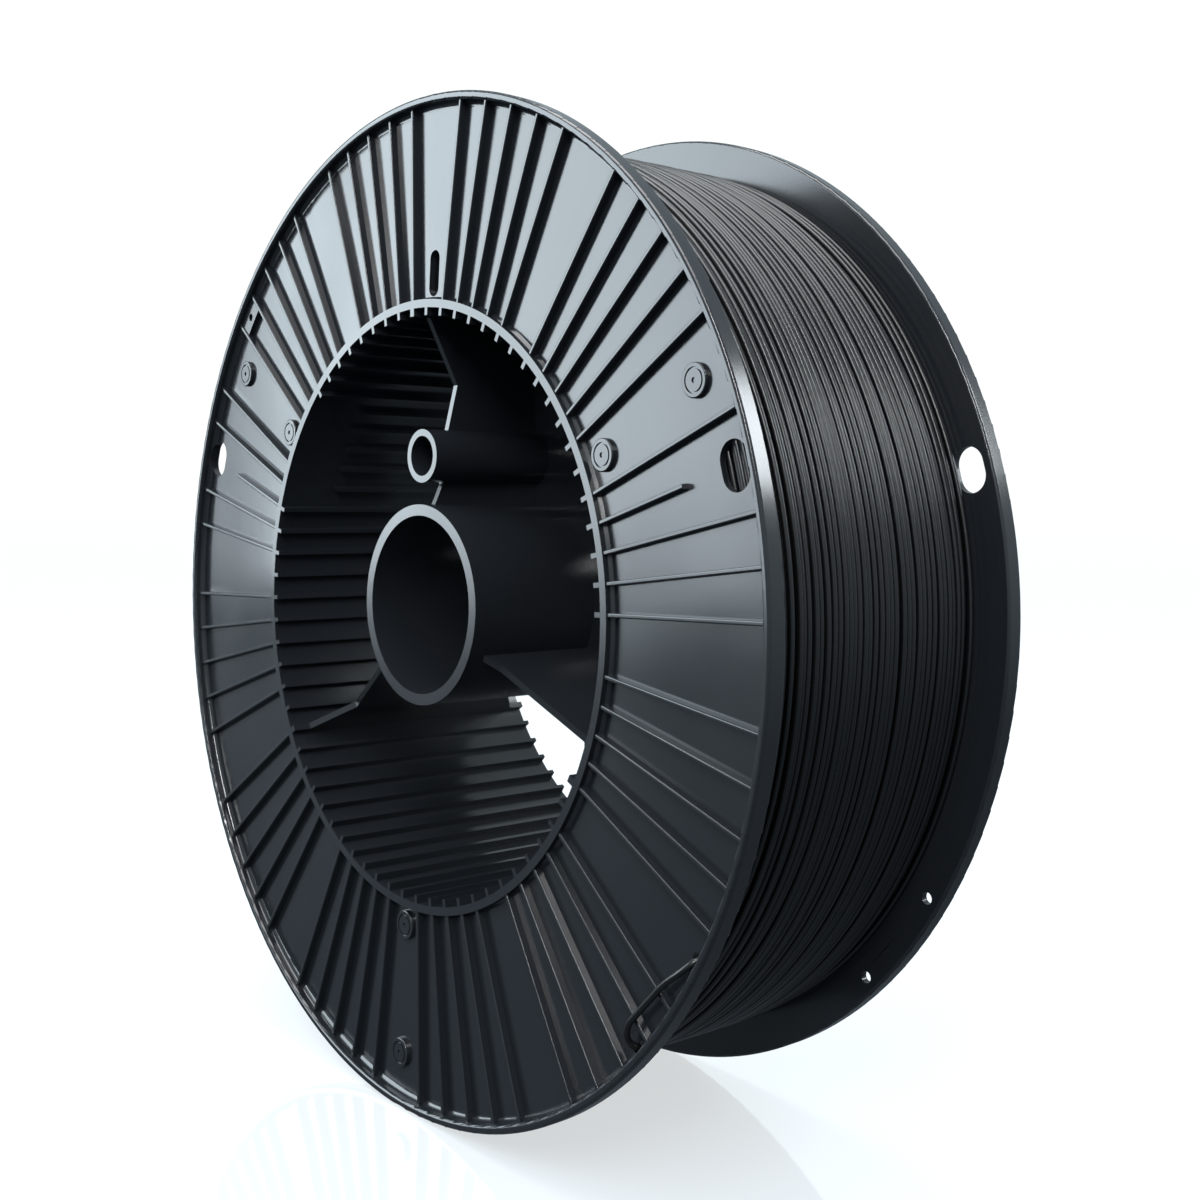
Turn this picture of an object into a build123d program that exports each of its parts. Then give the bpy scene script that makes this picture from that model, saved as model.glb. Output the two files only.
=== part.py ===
from build123d import *
import os
from math import cos, pi, radians, sin, tan

os.makedirs("parts", exist_ok=True)

# Overall sizes, in mm. The spool's axis is Y and its mid-plane is Y = 0.
flange_r = 150.0
spool_w = 95.0
half_w = spool_w / 2

# Flange: a rim round a thin ribbed plate
rim_wall = 2.5
rim_t = 5.6
plate_t = 2.0
rim_inner_r = flange_r - rim_wall
plate_in = half_w - rim_t
plate_out = plate_in + plate_t
rib_top = half_w - 1.5
edge_round = 0.9
cove_r = 1.8
foot = 0.8

# Radial ribs: groups of five between plain gaps
rib_step = 5.0
rib_first = 2.5
rib_count = 72
gap_every = 6
gap_first = 5
rib_w = 1.15
rib_outer_r = rim_inner_r + 0.3
short_rib_end_r = 123.5
rib_draft = 0.25
rib_round = 0.35

# Drum, with ribs along its inside
drum_r = 90.4
drum_wall = 2.4
rib_in_r = drum_r + 0.05
drum_in_r = drum_r - drum_wall
drum_end = half_w - 1.2
drum_rib_h = 2.3
drum_rib_w = 1.3
drum_rib_l = drum_rib_h + drum_wall / 2
drum_rib_mid_r = drum_in_r - drum_rib_h + drum_rib_l / 2
short_drum_ribs = [137.5, 142.5, 147.5, 152.5, 157.5, 337.5, 342.5, 347.5, 352.5, 357.5]
short_drum_rib_end = half_w - 19.7

# Core tube, drive tube, webs and divider
core_r = 29.8
core_bore_r = 26.5
core_end = half_w - 2.8
drive_at_r = 44.3
drive_angle = 92.5
drive_r = 8.0
drive_bore_r = 6.0
drive_end = half_w - 4.3
web_t = 2.0
web_angles = [drive_angle, 212.5, 332.5]
divider_mid_angle = 32.5
web_overlap = 0.4
web_outer_r = (drum_in_r**2 - (web_t / 2) ** 2) ** 0.5
divider_t = 2.0
web_front_edge = [
    (core_r - web_overlap, half_w - 8.0),
    (36.0, half_w - 11.0),
    (71.0, half_w - 17.0),
    (drum_in_r - drum_rib_h, half_w - 6.9),
    (drum_in_r - drum_rib_h, drum_end),
    (web_outer_r, drum_end),
]
drive_web_front_edge = [
    (core_r - web_overlap, half_w - 8.0),
    (36.0, half_w - 11.0),
    (52.3, half_w - 13.0),
    (66.0, half_w - 16.4),
    (drum_in_r - drum_rib_h, half_w - 6.9),
    (drum_in_r - drum_rib_h, drum_end),
    (web_outer_r, drum_end),
]

# Openings in each flange
slot_w = 9.6
slot_l = 12.8
slot_angles = [17.5, 162.5]
front_slot_radii = [140.5, 142.6]
rear_slot_radii = [142.6, 142.6]
start_slot_angle = 87.5
start_slot_in_r = 91.4
start_slot_out_r = 105.0
start_slot_w = 5.0
tail_hole_r = 145.6
tail_hole_d = 3.4
tail_hole_angles = [328.7, 315.0]
stud_hole_r = 143.6
stud_hole_d = 2.6
stud_angle = 140.0
stud_in_r = 140.8
stud_half_angle = 2.35
stud_top = rib_top - 0.5

# Round pads on the plate
pad_d = 8.8
pad_h = 1.2
pad_round = 0.35
pad_groove_d = 6.6
pad_groove_w = 0.5
pad_groove_h = 0.35
pad_dimple_d = 1.4
pad_places = [(135.5, 27.5), (135.5, 147.5), (135.5, 267.5), (96.6, 27.5), (96.6, 147.5), (96.6, 267.5)]

# Wound filament
filament_d = 1.75
winding_r = 139.5
winding_gap = 0.15

# Loose end of the filament: out of one rim hole, over two ribs, back into the other.
# Each point is a radius, an angle and a distance in from the front face.
tail_depth = 0.56
tail_route = [
    (140.5, 342.0, 9.0),
    (140.6, 338.0, 9.0),
    (141.8, 334.2, 8.8),
    (144.2, 331.3, 8.8),
    (tail_hole_r, 328.9, 7.2),
    (tail_hole_r, 328.5, 3.0),
    (144.9, 327.0, 0.95),
    (142.5, 324.3, tail_depth),
    (141.2, 319.6, tail_depth),
    (140.9, 316.8, tail_depth),
    (143.0, 315.3, 1.0),
    (tail_hole_r, 315.0, 3.2),
    (tail_hole_r, 315.0, 6.6),
]
bend_share = 0.45


def front_plane(distance):
    return Plane(origin=(0, -distance, 0), x_dir=(1, 0, 0), z_dir=(0, -1, 0))


def flat(radius, angle):
    return (radius * cos(radians(angle)), radius * sin(radians(angle)))


def web_plane(angle):
    # x runs out along the radius, y runs forward from the mid-plane
    outward = (cos(radians(angle)), 0, sin(radians(angle)))
    return Plane(origin=(0, 0, 0), x_dir=outward, z_dir=(outward[2], 0, -outward[0]))


def drum_rib_angles():
    all_angles = [rib_first + rib_step * k for k in range(rib_count)]
    return [angle for angle in all_angles if angle not in web_angles]


def rib_angles():
    found = []
    for k in range(rib_count):
        if k % gap_every != gap_first:
            found.append(rib_first + rib_step * k)
    return found


def pad_rims(flange):
    circles = flange.edges().filter_by(GeomType.CIRCLE)
    return circles.filter_by(lambda e: abs(e.radius - pad_d / 2) < 0.01 and abs(e.center().Y + plate_out + pad_h) < 0.01)


def rib_block(end_r):
    # Drafted cross-section with a rounded top, drawn across the radius and extruded along it
    with BuildPart() as block:
        with BuildSketch(Plane(origin=(rib_in_r, 0, 0), x_dir=(0, 0, 1), z_dir=(1, 0, 0))) as section:
            with BuildLine():
                Polyline(
                    (-rib_w / 2 - rib_draft, plate_out - plate_t / 2),
                    (rib_w / 2 + rib_draft, plate_out - plate_t / 2),
                    (rib_w / 2, rib_top),
                    (-rib_w / 2, rib_top),
                    close=True,
                )
            make_face()
            fillet(section.vertices().filter_by(lambda v: v.Y > rib_top - rib_round), rib_round)
        extrude(amount=end_r - rib_in_r)
    return block


long_rib = rib_block(rib_outer_r)
short_rib = rib_block(short_rib_end_r)
long_rib_angles = [angle for angle in rib_angles() if angle not in slot_angles]
short_rib_angles = slot_angles


def slot_cutter(radii, plane):
    """Solids that cut a flange's strap slots, one at each slot angle."""
    with BuildPart() as cutter:
        with BuildSketch(plane):
            for radius, angle in zip(radii, slot_angles):
                with Locations(Location((*flat(radius, angle), 0), (0, 0, angle + 90))):
                    SlotOverall(slot_l, slot_w)
        extrude(amount=rim_t)
    return cutter


front_slots = slot_cutter(front_slot_radii, front_plane(plate_in))
rear_slots = slot_cutter(rear_slot_radii, front_plane(-half_w))

# What the two flanges have in common: all but the strap slots
with BuildPart() as flange_blank:
    with BuildSketch(Plane.XY) as flange_profile:
        with BuildLine():
            Polyline(
                (drum_r, -plate_in),
                (flange_r, -plate_in),
                (flange_r, -half_w),
                (rim_inner_r, -half_w),
                (rim_inner_r, -plate_out),
                (drum_r + foot, -plate_out),
                (drum_r, -plate_out - foot),
                close=True,
            )
        make_face()
        outer_corners = flange_profile.vertices().filter_by(lambda v: v.X > rim_inner_r + rim_wall / 2)
        fillet(outer_corners, edge_round)
        lip_corner = flange_profile.vertices().filter_by(
            lambda v: abs(v.X - rim_inner_r) < 0.01 and abs(v.Y + half_w) < 0.01
        )
        fillet(lip_corner, edge_round)
        cove_corner = flange_profile.vertices().filter_by(
            lambda v: abs(v.X - rim_inner_r) < 0.01 and abs(v.Y + plate_out) < 0.01
        )
        fillet(cove_corner, cove_r)
    revolve(axis=Axis.Y)
    for rib, angles in ((long_rib, long_rib_angles), (short_rib, short_rib_angles)):
        with Locations(*[Location((0, 0, 0), (0, -angle, 0)) for angle in angles]):
            add(rib.part)
    with BuildSketch(front_plane(plate_out - plate_t / 2)):
        with BuildLine():
            Polyline(
                flat(stud_in_r, stud_angle - stud_half_angle),
                flat(stud_in_r, stud_angle + stud_half_angle),
                flat(rib_outer_r, stud_angle + stud_half_angle),
                flat(rib_outer_r, stud_angle - stud_half_angle),
                close=True,
            )
        make_face()
    extrude(amount=stud_top - plate_out + plate_t / 2)
    with BuildSketch(front_plane(plate_out - plate_t / 2)):
        for radius, angle in pad_places:
            with Locations(flat(radius, angle)):
                Circle(pad_d / 2)
    extrude(amount=pad_h + plate_t / 2)
    with BuildSketch(front_plane(plate_out + pad_h - pad_groove_h)):
        for radius, angle in pad_places:
            with Locations(flat(radius, angle)):
                Circle(pad_groove_d / 2)
                Circle(pad_groove_d / 2 - pad_groove_w, mode=Mode.SUBTRACT)
                Circle(pad_dimple_d / 2)
    extrude(amount=pad_groove_h, mode=Mode.SUBTRACT)
    fillet(pad_rims(flange_blank), pad_round)
    with BuildSketch(front_plane(plate_in)):
        with Locations(flat(stud_hole_r, stud_angle)):
            Circle(stud_hole_d / 2)
        for angle in tail_hole_angles:
            with Locations(flat(tail_hole_r, angle)):
                Circle(tail_hole_d / 2)
        start_mid_r = (start_slot_in_r + start_slot_out_r) / 2
        with Locations(Location((*flat(start_mid_r, start_slot_angle), 0), (0, 0, start_slot_angle))):
            SlotOverall(start_slot_out_r - start_slot_in_r, start_slot_w)
    extrude(amount=rim_t, mode=Mode.SUBTRACT)

# Front flange
with BuildPart() as flange_front:
    add(flange_blank.part)
    add(front_slots.part, mode=Mode.SUBTRACT)
flange_front.part.label = "flange_front"
export_step(flange_front.part, "parts/flange_front.step")

# Rear flange
with BuildPart() as flange_rear:
    add(flange_blank.part.mirror(Plane.XZ))
    add(rear_slots.part, mode=Mode.SUBTRACT)
flange_rear.part.label = "flange_rear"
export_step(flange_rear.part, "parts/flange_rear.step")

# Front half of the drum, with a web in place of the rib at each web's angle
with BuildPart() as drum_front:
    with BuildSketch(front_plane(0)):
        Circle(drum_r)
        Circle(drum_in_r, mode=Mode.SUBTRACT)
    extrude(amount=drum_end)
    with BuildSketch(front_plane(0)):
        for angle in drum_rib_angles():
            if angle not in short_drum_ribs:
                with Locations(Location((*flat(drum_rib_mid_r, angle), 0), (0, 0, angle))):
                    Rectangle(drum_rib_l, drum_rib_w)
    extrude(amount=drum_end)
    with BuildSketch(front_plane(0)):
        for angle in short_drum_ribs:
            with Locations(Location((*flat(drum_rib_mid_r, angle), 0), (0, 0, angle))):
                Rectangle(drum_rib_l, drum_rib_w)
    extrude(amount=short_drum_rib_end)
drum_front.part.label = "drum_front"
export_step(drum_front.part, "parts/drum_front.step")

# Rear half of the drum
with BuildPart() as drum_rear:
    add(drum_front.part.mirror(Plane.XZ))
drum_rear.part.label = "drum_rear"
export_step(drum_rear.part, "parts/drum_rear.step")

# Front half of the core tube
with BuildPart() as core_front:
    with BuildSketch(front_plane(0)):
        Circle(core_r)
        Circle(core_bore_r, mode=Mode.SUBTRACT)
    extrude(amount=core_end)
core_front.part.label = "core_tube_front"
export_step(core_front.part, "parts/core_tube_front.step")

# Rear half of the core tube
with BuildPart() as core_rear:
    add(core_front.part.mirror(Plane.XZ))
core_rear.part.label = "core_tube_rear"
export_step(core_rear.part, "parts/core_tube_rear.step")

# Front half of the drive tube
with BuildPart() as drive_front:
    with BuildSketch(front_plane(0)):
        with Locations(flat(drive_at_r, drive_angle)):
            Circle(drive_r)
            Circle(drive_bore_r, mode=Mode.SUBTRACT)
    extrude(amount=drive_end)
drive_front.part.label = "drive_tube_front"
export_step(drive_front.part, "parts/drive_tube_front.step")

# Rear half of the drive tube
with BuildPart() as drive_rear:
    add(drive_front.part.mirror(Plane.XZ))
drive_rear.part.label = "drive_tube_rear"
export_step(drive_rear.part, "parts/drive_tube_rear.step")

# Front webs, which hold the core tube and the drive tube in the drum
with BuildPart() as webs_front:
    for angle in web_angles:
        front_edge = drive_web_front_edge if angle == drive_angle else web_front_edge
        with BuildSketch(web_plane(angle)):
            with BuildLine():
                Polyline(*front_edge, (web_outer_r, 0), (core_r - web_overlap, 0), close=True)
            make_face()
        extrude(amount=web_t / 2, both=True)
    with BuildSketch(front_plane(0)):
        Circle(core_r)
        with Locations(flat(drive_at_r, drive_angle)):
            Circle(drive_r)
    extrude(amount=half_w, mode=Mode.SUBTRACT)
webs_front.part.label = "webs_front"
export_step(webs_front.part, "parts/webs_front.step")

# Rear webs
with BuildPart() as webs_rear:
    add(webs_front.part.mirror(Plane.XZ))
webs_rear.part.label = "webs_rear"
export_step(webs_rear.part, "parts/webs_rear.step")

# Divider across one of the three sectors of the hub, at the mid-plane
with BuildPart() as divider:
    with BuildSketch(front_plane(0)):
        with BuildLine():
            arc_start = flat(web_outer_r, web_angles[-1])
            arc_middle = flat(web_outer_r, divider_mid_angle)
            arc_end = flat(web_outer_r, drive_angle)
            ThreePointArc(arc_start, arc_middle, arc_end)
            Polyline(arc_end, (0, 0), arc_start)
        make_face()
        Circle(core_r, mode=Mode.SUBTRACT)
    extrude(amount=divider_t)
    add(drum_front.part, mode=Mode.SUBTRACT)
    add(webs_front.part, mode=Mode.SUBTRACT)
    add(drive_front.part, mode=Mode.SUBTRACT)
    with BuildSketch(front_plane(0)):
        with Locations(flat(drive_at_r, drive_angle)):
            Circle(drive_bore_r)
    extrude(amount=divider_t, mode=Mode.SUBTRACT)
divider.part.label = "hub_divider"
export_step(divider.part, "parts/hub_divider.step")

# Wound filament, as one ring between the flanges
with BuildPart() as winding:
    with BuildSketch(front_plane(0)):
        Circle(winding_r)
        Circle(drum_r, mode=Mode.SUBTRACT)
    extrude(amount=plate_in - winding_gap, both=True)
winding.part.label = "filament_winding"
export_step(winding.part, "parts/filament_winding.step")

# Loose end of the filament
tail_points = [Vector(*flat(r, a), 0) for r, a, d in tail_route]
tail_points = [Vector(p.X, d - half_w, p.Y) for p, (r, a, d) in zip(tail_points, tail_route)]
tail_radii = []
for before, at, after in zip(tail_points, tail_points[1:], tail_points[2:]):
    turn = (at - before).get_angle(after - at)
    shorter = min((at - before).length, (after - at).length)
    tail_radii.append(bend_share * shorter / tan(radians(turn / 2)))
with BuildPart() as tail:
    with BuildLine() as tail_line:
        FilletPolyline(*tail_points, radius=tail_radii)
    with BuildSketch(Plane(origin=tail_line.line @ 0, z_dir=tail_line.line % 0)):
        Circle(filament_d / 2)
    sweep()
tail.part.label = "filament_tail"
export_step(tail.part, "parts/filament_tail.step")

tail_section = pi * filament_d**2 / 4
tail_length = sum(edge.length for edge in tail_line.edges())
print("tail radii", [round(r, 1) for r in tail_radii])
print("tail length", round(tail_length, 1))
print("tail volume over section", round(tail.part.volume / tail_section, 1))
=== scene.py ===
import math
import random

import bpy
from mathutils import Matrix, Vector


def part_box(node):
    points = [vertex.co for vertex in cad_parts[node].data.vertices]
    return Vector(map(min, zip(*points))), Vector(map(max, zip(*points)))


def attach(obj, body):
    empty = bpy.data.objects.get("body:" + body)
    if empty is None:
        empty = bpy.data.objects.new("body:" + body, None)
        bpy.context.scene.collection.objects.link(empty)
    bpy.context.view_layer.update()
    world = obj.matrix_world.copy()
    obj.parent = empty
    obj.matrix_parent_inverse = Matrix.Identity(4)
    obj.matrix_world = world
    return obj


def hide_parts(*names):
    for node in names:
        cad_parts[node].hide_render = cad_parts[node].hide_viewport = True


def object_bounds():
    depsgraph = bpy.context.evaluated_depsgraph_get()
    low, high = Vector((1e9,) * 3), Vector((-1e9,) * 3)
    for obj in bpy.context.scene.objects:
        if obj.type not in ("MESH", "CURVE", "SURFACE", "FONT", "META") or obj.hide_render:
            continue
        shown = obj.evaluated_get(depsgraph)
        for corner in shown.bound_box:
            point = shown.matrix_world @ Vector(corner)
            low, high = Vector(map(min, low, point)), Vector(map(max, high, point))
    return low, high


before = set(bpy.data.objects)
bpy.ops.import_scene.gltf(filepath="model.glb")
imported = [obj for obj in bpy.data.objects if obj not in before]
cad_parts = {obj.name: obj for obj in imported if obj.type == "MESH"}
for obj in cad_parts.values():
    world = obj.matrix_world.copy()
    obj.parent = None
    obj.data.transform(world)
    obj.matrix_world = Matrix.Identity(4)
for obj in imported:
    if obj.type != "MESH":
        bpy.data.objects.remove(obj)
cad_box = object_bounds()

MM = 0.001

# Places, from the frame
flange_low, flange_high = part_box("flange_front")
flange_r = flange_high[0]
rim_front_y = -flange_low[1]
rim_back_y = -flange_high[1]
winding_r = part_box("filament_winding")[1][0]
winding_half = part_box("filament_winding")[1][1]
drum_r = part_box("drum_front")[1][0]
floor_z = cad_box[0][2]

# Rim section, as in the CAD
rim_wall = 2.5 * MM
edge_round = 0.9 * MM
rim_inner_r = flange_r - rim_wall

# Shading of the CAD nodes
merge_distance = 0.001 * MM
sharpest_smooth_edge = math.radians(32)
least_square_on = 0.9995  # how nearly a flat face's normal lies along the axis

# Filament
strand_r = 1.75 * MM / 2
layer_drop = 2.3 * MM
top_steps = 200
under_steps = 140
core_steps = 160
strand_sides = 8


# ---------------------------------------------------------------- camera

def make_camera():
    data = bpy.data.cameras.new("camera")
    camera = bpy.data.objects.new("camera", data)
    bpy.context.scene.collection.objects.link(camera)
    camera.location = (0.3923, -0.2916, 0.0388)
    camera.rotation_euler = (math.radians(89.291), math.radians(-1.129), math.radians(47.520))
    data.sensor_width = 36
    data.lens = 46.06
    data.shift_x = -0.0830
    data.shift_y = -0.0845
    data.clip_start = 0.01
    bpy.context.scene.camera = camera


# ---------------------------------------------------------------- stage

def hide_from_object(stand_in):
    """Seen by the camera, but its light doesn't reach the object."""
    stand_in.visible_diffuse = False
    stand_in.visible_glossy = False
    stand_in.visible_shadow = False


def make_floor():
    bpy.ops.mesh.primitive_plane_add(size=12, location=(0, 0, floor_z))
    floor = bpy.context.object
    floor.name = "floor"
    material, nodes, links, shader = new_material("floor")
    shader.inputs["Base Color"].default_value = (0.24, 0.27, 0.30, 1)
    shader.inputs["Roughness"].default_value = 0.06
    shader.inputs["IOR"].default_value = 2.4
    shader.inputs["Emission Color"].default_value = (0.96, 0.99, 1.0, 1)
    shader.inputs["Emission Strength"].default_value = 0.66
    floor.data.materials.append(material)
    hide_from_object(floor)


def make_backdrop():
    bpy.ops.mesh.primitive_uv_sphere_add(radius=5.5, segments=48, ring_count=24)
    dome = bpy.context.object
    dome.name = "backdrop"
    material, nodes, links, shader = new_material("backdrop")
    shader.inputs["Base Color"].default_value = (0, 0, 0, 1)
    shader.inputs["Specular IOR Level"].default_value = 0
    shader.inputs["Emission Color"].default_value = (0.97, 1.0, 1.0, 1)
    shader.inputs["Emission Strength"].default_value = 1.05
    dome.data.materials.append(material)
    hide_from_object(dome)


def area_light(name, place, size, power, colour=(1, 1, 1)):
    """A rectangular light that faces the spool's centre."""
    data = bpy.data.lights.new(name, "AREA")
    data.shape = "RECTANGLE"
    data.size, data.size_y = size
    data.energy = power
    data.color = colour
    light = bpy.data.objects.new(name, data)
    bpy.context.scene.collection.objects.link(light)
    light.location = place
    light.rotation_euler = Vector(place).to_track_quat("Z", "Y").to_euler()
    light.visible_camera = False


def make_world():
    """Dim studio walls, brighter above the horizon than below it."""
    world = bpy.data.worlds.new("studio")
    bpy.context.scene.world = world
    world.use_nodes = True
    nodes = world.node_tree.nodes
    links = world.node_tree.links
    place = nodes.new("ShaderNodeTexCoord")
    split = nodes.new("ShaderNodeSeparateXYZ")
    ramp = nodes.new("ShaderNodeValToRGB")
    ramp.color_ramp.elements[0].position = 0.34
    ramp.color_ramp.elements[0].color = (0.19, 0.23, 0.27, 1)
    ramp.color_ramp.elements[1].position = 0.56
    ramp.color_ramp.elements[1].color = (0.78, 0.92, 1.0, 1)
    links.new(place.outputs["Generated"], split.inputs["Vector"])
    links.new(remap(nodes, links, split.outputs["Z"], -1, 1, 0, 1), ramp.inputs["Fac"])
    background = nodes["Background"]
    links.new(ramp.outputs["Color"], background.inputs["Color"])
    background.inputs["Strength"].default_value = 0.62


def make_lights():
    area_light("top", (0.0, -0.1, 1.2), (1.2, 1.0), 20)
    area_light("left", (-1.3, -1.1, 0.5), (0.9, 1.3), 26, (0.82, 0.93, 1.0))
    area_light("back_right", (1.1, 1.2, 0.9), (0.35, 0.6), 13, (0.9, 0.96, 1.0))
    area_light("front_strip", (0.9, -1.0, 1.1), (0.2, 0.9), 20)


# ---------------------------------------------------------------- materials

def new_material(name):
    material = bpy.data.materials.new(name)
    material.use_nodes = True
    nodes = material.node_tree.nodes
    return material, nodes, material.node_tree.links, nodes["Principled BSDF"]


def add_noise(nodes, links, scale, detail):
    place = nodes.new("ShaderNodeTexCoord")
    noise = nodes.new("ShaderNodeTexNoise")
    noise.inputs["Scale"].default_value = scale
    noise.inputs["Detail"].default_value = detail
    links.new(place.outputs["Object"], noise.inputs["Vector"])
    return noise.outputs["Fac"]


def remap(nodes, links, value, low_in, high_in, low_out, high_out):
    node = nodes.new("ShaderNodeMapRange")
    node.inputs["From Min"].default_value = low_in
    node.inputs["From Max"].default_value = high_in
    node.inputs["To Min"].default_value = low_out
    node.inputs["To Max"].default_value = high_out
    links.new(value, node.inputs["Value"])
    return node.outputs["Result"]


def add_bump(nodes, links, shader, height, distance, strength):
    bump = nodes.new("ShaderNodeBump")
    bump.inputs["Distance"].default_value = distance
    bump.inputs["Strength"].default_value = strength
    links.new(height, bump.inputs["Height"])
    links.new(bump.outputs["Normal"], shader.inputs["Normal"])


def spool_plastic():
    material, nodes, links, shader = new_material("spool_plastic")
    shader.inputs["Base Color"].default_value = (0.012, 0.014, 0.017, 1)
    shader.inputs["IOR"].default_value = 1.55
    broad = add_noise(nodes, links, 14, 4)
    links.new(remap(nodes, links, broad, 0.3, 0.7, 0.12, 0.24), shader.inputs["Roughness"])
    fine = add_noise(nodes, links, 260, 3)
    add_bump(nodes, links, shader, fine, 0.02 * MM, 0.3)
    return material


def filament_plastic():
    material, nodes, links, shader = new_material("filament")
    shader.inputs["Base Color"].default_value = (0.004, 0.0045, 0.005, 1)
    shader.inputs["IOR"].default_value = 1.5
    shader.inputs["Roughness"].default_value = 0.29
    grain = add_noise(nodes, links, 2500, 3)
    add_bump(nodes, links, shader, grain, 0.06 * MM, 0.6)
    return material


def new_geometry_group(name):
    group = bpy.data.node_groups.new(name, "GeometryNodeTree")
    group.interface.new_socket("Geometry", in_out="INPUT", socket_type="NodeSocketGeometry")
    group.interface.new_socket("Geometry", in_out="OUTPUT", socket_type="NodeSocketGeometry")
    return group, group.nodes, group.links


def fine_rounds():
    """Node group for a modifier on a CAD node, whose own mesh stays as it is.

    It halves each edge, brings the new points out to the round about the axis, and shades by angle."""
    group, nodes, links = new_geometry_group("fine_rounds")

    def radius_from_axis():
        position = nodes.new("GeometryNodeInputPosition")
        flat = nodes.new("ShaderNodeVectorMath")
        flat.operation = "MULTIPLY"
        flat.inputs[1].default_value = (1, 0, 1)
        length = nodes.new("ShaderNodeVectorMath")
        length.operation = "LENGTH"
        links.new(position.outputs["Position"], flat.inputs[0])
        links.new(flat.outputs["Vector"], length.inputs[0])
        return length.outputs["Value"]

    start = nodes.new("NodeGroupInput")
    plain = nodes.new("GeometryNodeSetMeshNormal")
    plain.mode = "SHARPNESS"
    plain.inputs["Remove Custom"].default_value = True
    merge = nodes.new("GeometryNodeMergeByDistance")
    merge.inputs["Distance"].default_value = merge_distance
    store = nodes.new("GeometryNodeStoreNamedAttribute")
    store.data_type = "FLOAT"
    store.domain = "POINT"
    store.inputs["Name"].default_value = "from_axis"
    divide = nodes.new("GeometryNodeSubdivideMesh")
    divide.inputs["Level"].default_value = 1
    wanted = nodes.new("GeometryNodeInputNamedAttribute")
    wanted.data_type = "FLOAT"
    wanted.inputs["Name"].default_value = "from_axis"
    ratio = nodes.new("ShaderNodeMath")
    ratio.operation = "DIVIDE"
    spread = nodes.new("ShaderNodeCombineXYZ")
    spread.inputs["Y"].default_value = 1
    position = nodes.new("GeometryNodeInputPosition")
    scaled = nodes.new("ShaderNodeVectorMath")
    scaled.operation = "MULTIPLY"
    place = nodes.new("GeometryNodeSetPosition")
    angle = nodes.new("GeometryNodeInputMeshEdgeAngle")
    gentle = nodes.new("FunctionNodeCompare")
    gentle.operation = "LESS_THAN"
    gentle.inputs["B"].default_value = sharpest_smooth_edge
    smooth_faces = nodes.new("GeometryNodeSetShadeSmooth")
    smooth_faces.domain = "FACE"
    smooth_edges = nodes.new("GeometryNodeSetShadeSmooth")
    smooth_edges.domain = "EDGE"
    end = nodes.new("NodeGroupOutput")

    links.new(start.outputs["Geometry"], plain.inputs["Mesh"])
    links.new(plain.outputs["Mesh"], merge.inputs["Geometry"])
    links.new(merge.outputs["Geometry"], store.inputs["Geometry"])
    links.new(radius_from_axis(), store.inputs["Value"])
    links.new(store.outputs["Geometry"], divide.inputs["Mesh"])
    links.new(divide.outputs["Mesh"], place.inputs["Geometry"])
    links.new(wanted.outputs["Attribute"], ratio.inputs[0])
    links.new(radius_from_axis(), ratio.inputs[1])
    links.new(ratio.outputs["Value"], spread.inputs["X"])
    links.new(ratio.outputs["Value"], spread.inputs["Z"])
    links.new(position.outputs["Position"], scaled.inputs[0])
    links.new(spread.outputs["Vector"], scaled.inputs[1])
    links.new(scaled.outputs["Vector"], place.inputs["Position"])
    links.new(angle.outputs["Unsigned Angle"], gentle.inputs["A"])
    links.new(place.outputs["Geometry"], smooth_faces.inputs["Geometry"])
    links.new(smooth_faces.outputs["Geometry"], smooth_edges.inputs["Geometry"])
    links.new(gentle.outputs["Result"], smooth_edges.inputs["Shade Smooth"])
    links.new(smooth_edges.outputs["Geometry"], end.inputs["Geometry"])
    return group


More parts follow.
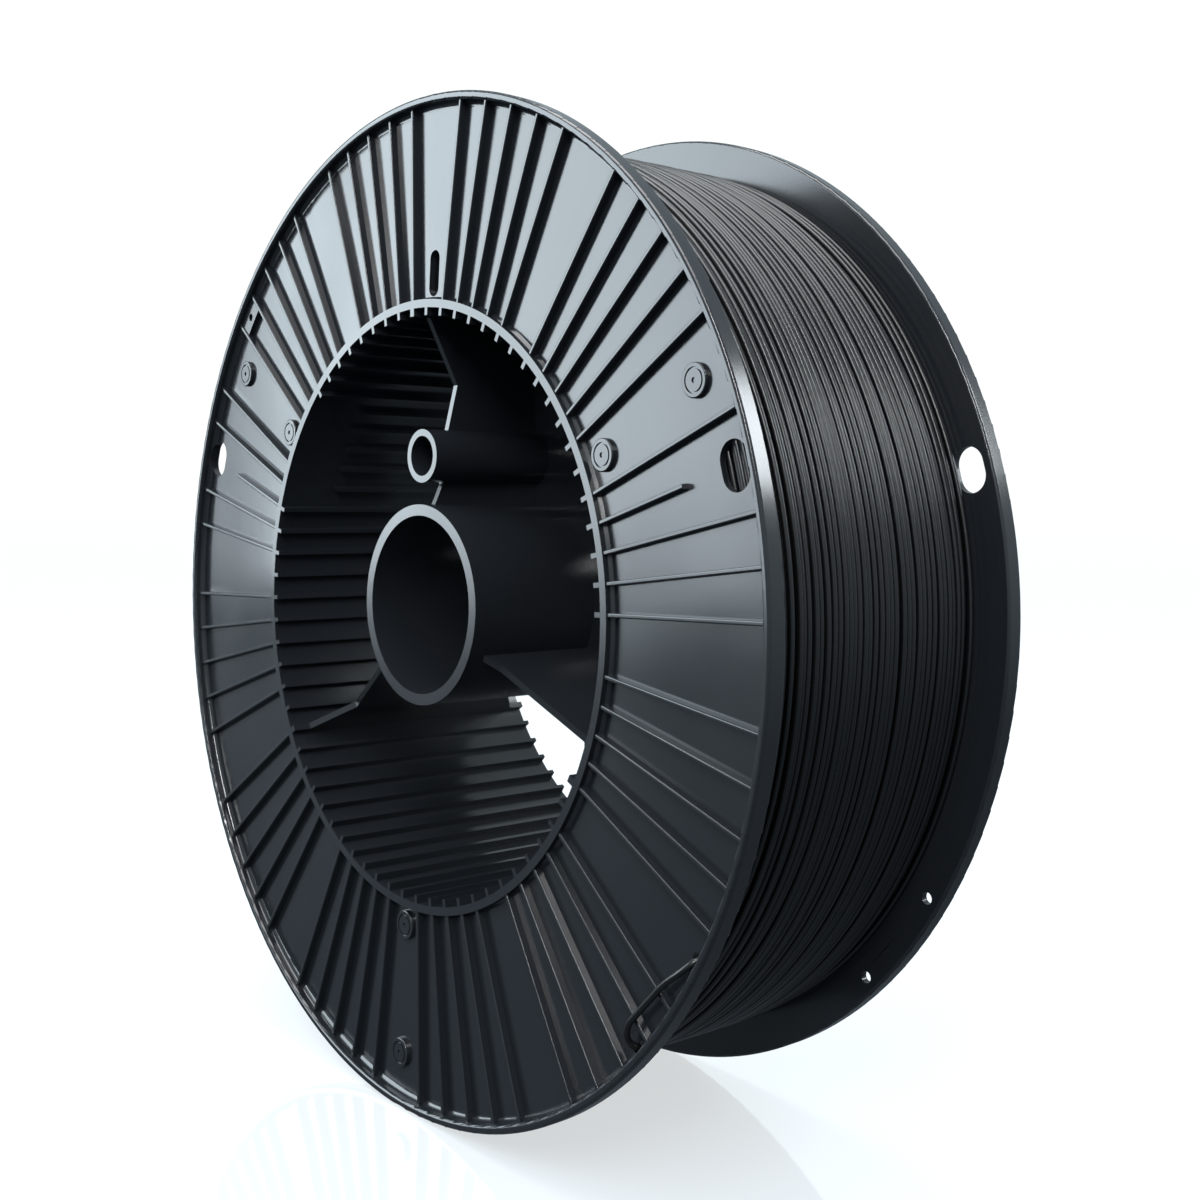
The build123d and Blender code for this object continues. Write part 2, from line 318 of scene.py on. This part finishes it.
def exact_normals():
    """Node group for a modifier on a flange.

    Faces square to the axis shade flat, and the rim shades as a true rounded section."""
    group, nodes, links = new_geometry_group("exact_normals")

    def math_node(operation, first, second=None):
        node = nodes.new("ShaderNodeMath")
        node.operation = operation
        for socket, value in zip(node.inputs, (first, second)):
            if isinstance(value, (int, float)):
                socket.default_value = value
            elif value is not None:
                links.new(value, socket)
        return node.outputs["Value"]

    def clamped(value, least, most):
        return math_node("MINIMUM", math_node("MAXIMUM", value, least), most)

    def split(vector):
        node = nodes.new("ShaderNodeSeparateXYZ")
        links.new(vector, node.inputs["Vector"])
        return node.outputs["X"], node.outputs["Y"], node.outputs["Z"]

    def either(test, when_false, when_true):
        node = nodes.new("GeometryNodeSwitch")
        node.input_type = "VECTOR"
        links.new(test, node.inputs["Switch"])
        links.new(when_false, node.inputs["False"])
        links.new(when_true, node.inputs["True"])
        return node.outputs["Output"]

    x, y, z = split(nodes.new("GeometryNodeInputPosition").outputs["Position"])
    r = math_node("SQRT", math_node("ADD", math_node("MULTIPLY", x, x), math_node("MULTIPLY", z, z)))
    depth = math_node("ABSOLUTE", y)
    out_r = math_node("SUBTRACT", r, clamped(r, rim_inner_r + edge_round, flange_r - edge_round))
    out_y = math_node("SUBTRACT", depth, clamped(depth, rim_back_y + edge_round, rim_front_y - edge_round))
    out_y = math_node("MULTIPLY", out_y, math_node("SIGN", y))
    rim = nodes.new("ShaderNodeCombineXYZ")
    links.new(math_node("MULTIPLY", out_r, math_node("DIVIDE", x, r)), rim.inputs["X"])
    links.new(out_y, rim.inputs["Y"])
    links.new(math_node("MULTIPLY", out_r, math_node("DIVIDE", z, r)), rim.inputs["Z"])
    rim_normal = nodes.new("ShaderNodeVectorMath")
    rim_normal.operation = "NORMALIZE"
    links.new(rim.outputs["Vector"], rim_normal.inputs[0])

    per_face = nodes.new("GeometryNodeFieldOnDomain")
    per_face.data_type = "FLOAT_VECTOR"
    per_face.domain = "FACE"
    normal = nodes.new("GeometryNodeInputNormal")
    links.new(normal.outputs["True Normal"], per_face.inputs["Value"])
    face_normal = per_face.outputs["Value"]
    face_y = math_node("ABSOLUTE", split(face_normal)[1])
    on_rim = math_node("GREATER_THAN", r, rim_inner_r + edge_round / 2)
    square_on = math_node("GREATER_THAN", face_y, least_square_on)
    shaped = either(on_rim, normal.outputs["Normal"], rim_normal.outputs["Vector"])
    wanted = either(square_on, shaped, face_normal)

    start = nodes.new("NodeGroupInput")
    set_normal = nodes.new("GeometryNodeSetMeshNormal")
    set_normal.mode = "FREE"
    set_normal.domain = "CORNER"
    end = nodes.new("NodeGroupOutput")
    links.new(start.outputs["Geometry"], set_normal.inputs["Mesh"])
    links.new(wanted, set_normal.inputs["Custom Normal"])
    links.new(set_normal.outputs["Mesh"], end.inputs["Geometry"])
    return group


def paint_frame(plastic, filament):
    rounds = fine_rounds()
    exact = exact_normals()
    for name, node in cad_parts.items():
        material = filament if name.startswith("filament") else plastic
        node.data.materials.clear()
        node.data.materials.append(material)
        if name != "filament_winding":
            node.modifiers.new("fine_rounds", "NODES").node_group = rounds
            normals = node.modifiers.new("flat_faces", "WEIGHTED_NORMAL")
            normals.mode = "FACE_AREA"
            normals.weight = 90
            normals.keep_sharp = True
        if name in ("flange_front", "flange_rear"):
            node.modifiers.new("exact_normals", "NODES").node_group = exact


# ---------------------------------------------------------------- filament

def link_mesh(name, points, faces, material, smooth=True):
    mesh = bpy.data.meshes.new(name)
    mesh.from_pydata(points, [], faces)
    mesh.materials.append(material)
    for face in mesh.polygons:
        face.use_smooth = smooth
    mesh.update()
    piece = bpy.data.objects.new(name, mesh)
    bpy.context.scene.collection.objects.link(piece)
    return piece


def tube_of_rings(name, centres, sides, radius, material):
    """A closed loop of rings round each centre line point (angle, radius from the axis, y)."""
    points = []
    faces = []
    for strand in centres:
        first = len(points)
        steps = len(strand)
        for angle, from_axis, y in strand:
            for side in range(sides):
                turn = 2 * math.pi * side / sides
                out = from_axis + radius * math.cos(turn)
                points.append((out * math.cos(angle), y + radius * math.sin(turn), out * math.sin(angle)))
        for step in range(steps):
            this = first + step * sides
            after = first + ((step + 1) % steps) * sides
            for side in range(sides):
                beside = (side + 1) % sides
                faces.append((this + side, this + beside, after + beside, after + side))
    return link_mesh(name, points, faces, material)


def wave(chooser, parts=3):
    terms = [(chooser.uniform(0.3, 1.0) / k, k, chooser.uniform(0, 2 * math.pi)) for k in range(1, parts + 1)]
    total = sum(term[0] for term in terms)
    return lambda angle: sum(a * math.sin(k * angle + p) for a, k, p in terms) / total


def layer_of_turns(name, layer_r, seed, tight, loose, loose_share, deepest, material, steps):
    """Turns side by side from flange to flange, unevenly spaced and never crossing."""
    chooser = random.Random(seed)
    span = 2 * (winding_half - strand_r)
    gaps = []
    while sum(gaps) < span:
        spread = chooser.uniform(*loose) if chooser.random() < loose_share else chooser.uniform(*tight)
        gaps.append(2 * strand_r + spread)
    gaps.pop()
    stretch = (span - sum(gaps)) / len(gaps)
    gap_waves = [wave(chooser) for _ in gaps]
    count = len(gaps) + 1
    sink_waves = [wave(chooser) for _ in range(count)]
    sinks = [deepest * chooser.random() ** 2 for _ in range(count)]
    strands = [[] for _ in range(count)]
    for step in range(steps):
        angle = 2 * math.pi * step / steps
        slack = [g + stretch - 2 * strand_r for g in gaps]
        bent = [s * (1 + 0.9 * w(angle)) for s, w in zip(slack, gap_waves)]
        fit = sum(slack) / sum(bent)
        y = -winding_half + strand_r
        for k, strand in enumerate(strands):
            from_axis = layer_r - strand_r - sinks[k] * (1 + 0.6 * sink_waves[k](angle))
            strand.append((angle, from_axis, y))
            if k < len(bent):
                y += 2 * strand_r + bent[k] * fit
    return tube_of_rings(name, strands, strand_sides, strand_r, material)


def ring_under_turns(outer_r, material):
    """A plain ring that fills the space between the drum and the turns."""
    points = []
    faces = []
    section = [
        (drum_r, -winding_half),
        (outer_r, -winding_half),
        (outer_r, winding_half),
        (drum_r, winding_half),
    ]
    for step in range(core_steps):
        angle = 2 * math.pi * step / core_steps
        points += [(r * math.cos(angle), y, r * math.sin(angle)) for r, y in section]
    count = len(section)
    for step in range(core_steps):
        this = count * step
        after = count * ((step + 1) % core_steps)
        for k in range(count):
            beside = (k + 1) % count
            faces.append((this + k, this + beside, after + beside, after + k))
    return link_mesh("filament_core", points, faces, material, smooth=False)


def make_filament(filament):
    top = layer_of_turns(
        "filament_top_turns", winding_r, 11, (0.0, 0.14 * MM), (0.4 * MM, 1.3 * MM), 0.32,
        0.75 * MM, filament, top_steps,
    )
    under = layer_of_turns(
        "filament_under_turns", winding_r - layer_drop, 3, (0.0, 0.1 * MM), (0.1 * MM, 0.5 * MM), 0.2,
        0.5 * MM, filament, under_steps,
    )
    core = ring_under_turns(winding_r - 3 * layer_drop, filament)
    for piece in (top, under, core):
        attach(piece, "root")
        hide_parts("filament_winding")


# ---------------------------------------------------------------- build

def main():
    make_camera()
    make_floor()
    make_backdrop()
    make_world()
    make_lights()
    plastic = spool_plastic()
    filament = filament_plastic()
    paint_frame(plastic, filament)
    make_filament(filament)
    scene = bpy.context.scene
    scene.view_settings.view_transform = "Standard"
    scene.view_settings.look = "None"


main()
